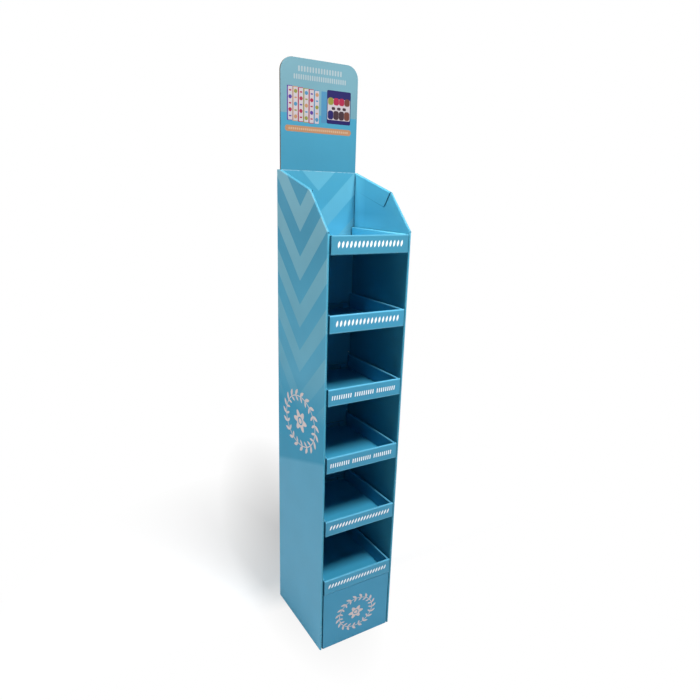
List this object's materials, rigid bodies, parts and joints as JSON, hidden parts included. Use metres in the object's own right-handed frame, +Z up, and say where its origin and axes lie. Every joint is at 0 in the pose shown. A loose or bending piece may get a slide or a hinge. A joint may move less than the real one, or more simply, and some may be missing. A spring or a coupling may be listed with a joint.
{
  "type": "cardboard display stand",
  "caption": "Tall narrow floor display stand of printed corrugated board with lipped tray shelves between double side walls, sloping wall tops and a round-cornered header card.",
  "frame": {"origin": "bottom centre of the whole stand's bounding box, on the floor", "axes": "+Z up; the open front with the tray lips looks towards -Y; +X to the right seen from behind the origin along +Y"},
  "size_m": [0.241, 0.283, 1.6],
  "materials": {
    "body_print": "printed, low sheen",
    "liner_print": "printed, low sheen",
    "header_print": "printed, low sheen",
    "base_print": "printed, low sheen",
    "tray_print": "printed, low sheen"
  },
  "bodies": {
    "root": {"body": "body_print", "back_liner": "liner_print", "header_card": "header_print", "base_box": "base_print", "tray_1": "tray_print", "tray_2": "tray_print", "tray_3": "tray_print", "tray_4": "tray_print", "tray_5": "tray_print", "tray_6": "tray_print"}
  },
  "joints": []
}
